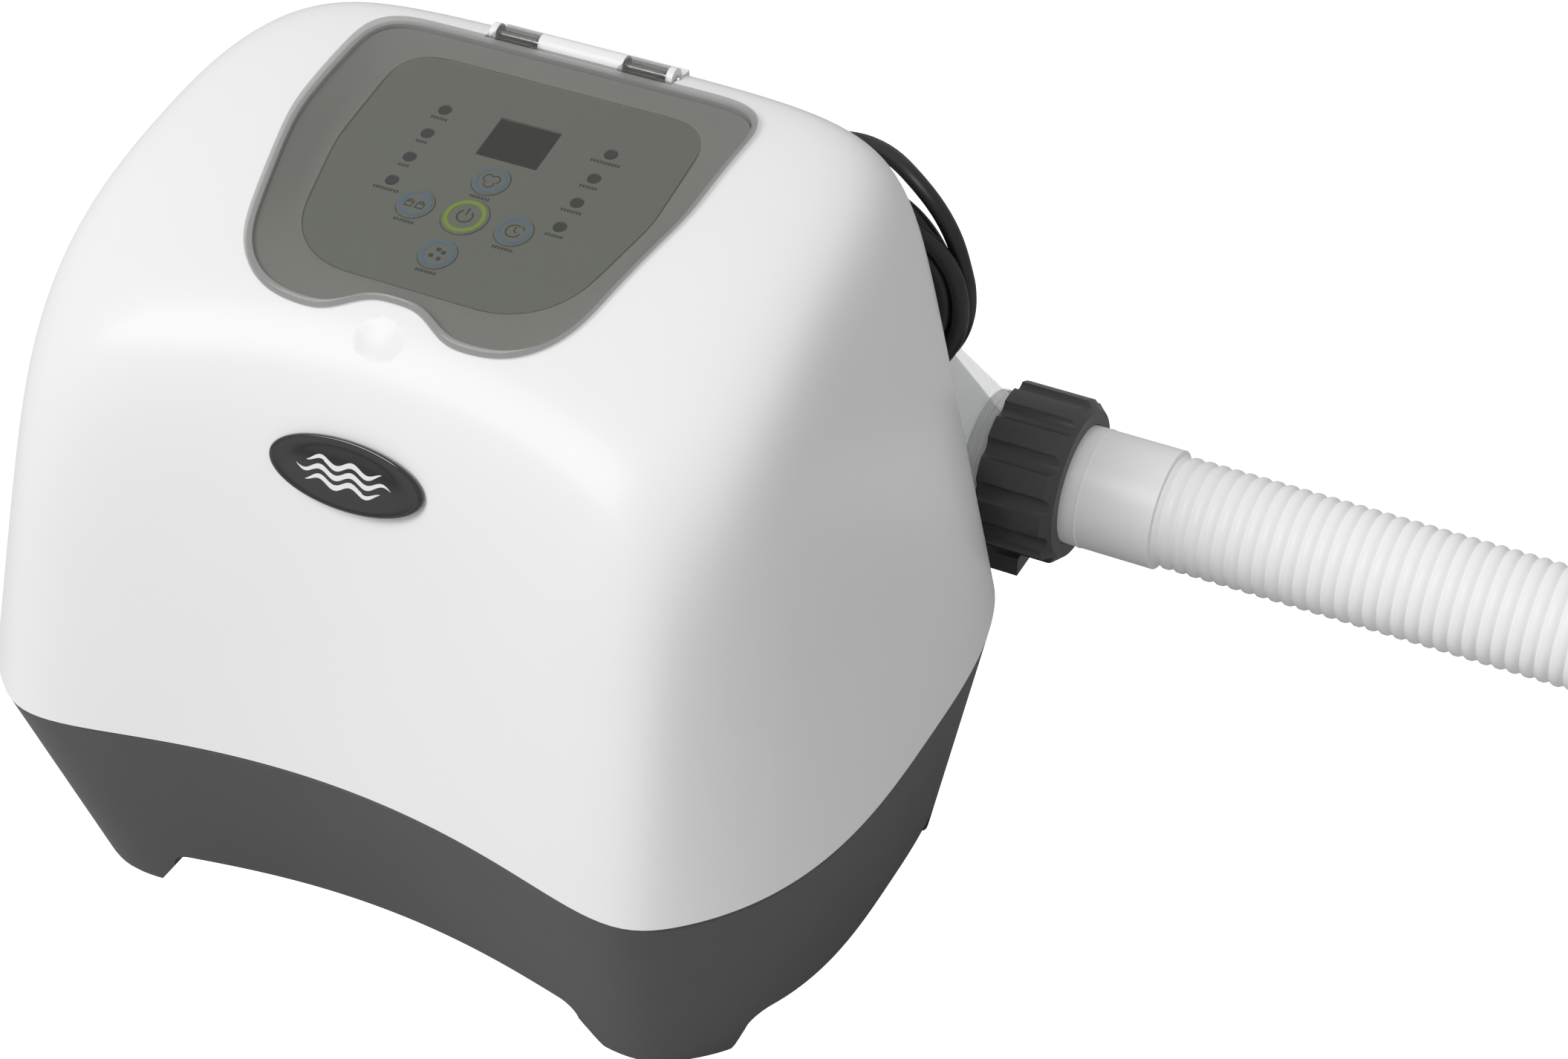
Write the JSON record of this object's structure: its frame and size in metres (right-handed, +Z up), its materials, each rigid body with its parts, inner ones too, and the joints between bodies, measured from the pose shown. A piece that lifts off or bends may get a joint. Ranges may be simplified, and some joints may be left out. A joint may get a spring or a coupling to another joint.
{
  "type": "salt chlorine generator",
  "caption": "Rounded pool chlorinator housing with sloped keypad under a clear flap, dark base, and a flow vessel behind with cell, flow sensor, corrugated hose and power cord.",
  "frame": {"origin": "on the floor, under the middle of the body's width and depth, without the free hose and cord", "axes": "+X to the right along the flow vessel (towards the hose), +Y to the back, +Z up"},
  "size_m": [1.0705, 0.5095, 0.3068],
  "materials": {
    "white_plastic": "satin moulded",
    "grey_plastic": "fine texture",
    "dark_plastic": "fine texture",
    "light_grey_plastic": "satin",
    "keypad_film": "printed film",
    "black_plastic": "satin",
    "badge_black": "glossy",
    "black_rubber": "matte",
    "red_rubber": "matte",
    "steel": "stainless",
    "brass": "satin",
    "aluminium": "satin",
    "titanium": "coated titanium",
    "smoked_clear": "smoked clear plastic",
    "clear_plastic": "clear plastic",
    "dark_window": "dark window",
    "red_display": "unlit digits",
    "lamp_lens": "unlit lens",
    "green_button": "printed film",
    "blue_button": "printed film",
    "board_green": "solder mask",
    "transformer_brown": "varnished",
    "capacitor_blue": "sleeved",
    "relay_blue": "moulded",
    "ribbon_grey": "flat cable",
    "cable_black": "matte",
    "paddle_yellow": "moulded",
    "hose_white": "soft satin"
  },
  "bodies": {
    "frame": {"upper_housing": "white_plastic", "base": "grey_plastic", "rear_shelf": "grey_plastic", "base_plate": "dark_plastic", "foot_pads": "black_rubber", "seam_gasket": "black_rubber", "housing_screws": "steel", "hinge_bracket": "white_plastic", "hinge_pins": "steel", "panel_plate": "light_grey_plastic", "keypad_overlay": "keypad_film", "display_window": "dark_window", "display_digits": "red_display", "indicator_lamps": "lamp_lens", "control_board": "board_green", "tact_switches": "black_plastic", "control_board_screws": "steel", "power_board": "board_green", "transformer": "transformer_brown", "heat_sink": "aluminium", "capacitors": "capacitor_blue", "relays": "relay_blue", "power_board_screws": "steel", "ribbon_cable": "ribbon_grey", "badge": "badge_black", "vessel": "clear_plastic", "vessel_cradle": "grey_plastic", "cradle_screws": "steel", "cell_cap": "black_plastic", "cell_o_ring": "red_rubber", "electrode_plates": "titanium", "electrode_comb": "white_plastic", "electrode_posts": "brass", "cell_cable": "cable_black", "cell_cable_glands": "black_plastic", "flow_sensor": "black_plastic", "flow_sensor_o_ring": "red_rubber", "flow_cable": "cable_black", "hose_o_ring": "black_rubber", "hose_cuff": "hose_white", "hose": "hose_white", "hose_end_cuff": "hose_white", "hose_end_o_ring": "black_rubber", "cord_gland": "black_plastic", "power_cord": "cable_black", "cord_coil": "cable_black", "coil_tie": "black_plastic", "plug": "cable_black", "bonding_terminal": "brass"},
    "lid": {"lid": "smoked_clear"},
    "power_button": {"power_button": "green_button"},
    "boost_button": {"boost_button": "blue_button"},
    "lock_button": {"lock_button": "blue_button"},
    "timer_button": {"timer_button": "blue_button"},
    "clean_button": {"clean_button": "blue_button"},
    "cell_collar": {"cell_collar": "black_plastic"},
    "flow_sensor_nut": {"flow_sensor_nut": "black_plastic"},
    "flow_paddle": {"flow_paddle": "paddle_yellow"},
    "hose_nut": {"hose_nut": "black_plastic"},
    "hose_end_nut": {"hose_end_nut": "black_plastic"}
  },
  "joints": [
    {"name": "lid_hinge", "type": "hinge", "parent": "frame", "child": "lid", "pos_m": [0, 0.037, 0.3024], "axis": [-1, 0, 0], "range_deg": [0, 110]},
    {"name": "power_button_press", "type": "slide", "parent": "frame", "child": "power_button", "axis": [0, 0.2284, -0.9736], "range_m": [0, 0.0008], "stiffness_N_per_m": 900},
    {"name": "boost_button_press", "type": "slide", "parent": "frame", "child": "boost_button", "axis": [0, 0.2284, -0.9736], "range_m": [0, 0.0008], "stiffness_N_per_m": 900},
    {"name": "lock_button_press", "type": "slide", "parent": "frame", "child": "lock_button", "axis": [0, 0.2284, -0.9736], "range_m": [0, 0.0008], "stiffness_N_per_m": 900},
    {"name": "timer_button_press", "type": "slide", "parent": "frame", "child": "timer_button", "axis": [0, 0.2284, -0.9736], "range_m": [0, 0.0008], "stiffness_N_per_m": 900},
    {"name": "clean_button_press", "type": "slide", "parent": "frame", "child": "clean_button", "axis": [0, 0.2284, -0.9736], "range_m": [0, 0.0008], "stiffness_N_per_m": 900},
    {"name": "hose_nut_turn", "type": "hinge", "parent": "frame", "child": "hose_nut", "pos_m": [0.166, 0.096, 0.127], "axis": [1, 0, 0], "continuous": true},
    {"name": "hose_end_nut_turn", "type": "hinge", "parent": "frame", "child": "hose_end_nut", "pos_m": [0.484, -0.026, 0.0345], "axis": [0.1908, 0.9816, 0], "continuous": true},
    {"name": "cell_collar_turn", "type": "hinge", "parent": "frame", "child": "cell_collar", "pos_m": [0, 0.148, 0.127], "axis": [0, 1, 0], "continuous": true},
    {"name": "sensor_nut_turn", "type": "hinge", "parent": "frame", "child": "flow_sensor_nut", "pos_m": [-0.052, 0.096, 0.186], "axis": [0, 0, 1], "continuous": true},
    {"name": "paddle_swing", "type": "hinge", "parent": "frame", "child": "flow_paddle", "pos_m": [-0.052, 0.096, 0.168], "axis": [0, -1, 0], "range_deg": [0, 25]}
  ]
}
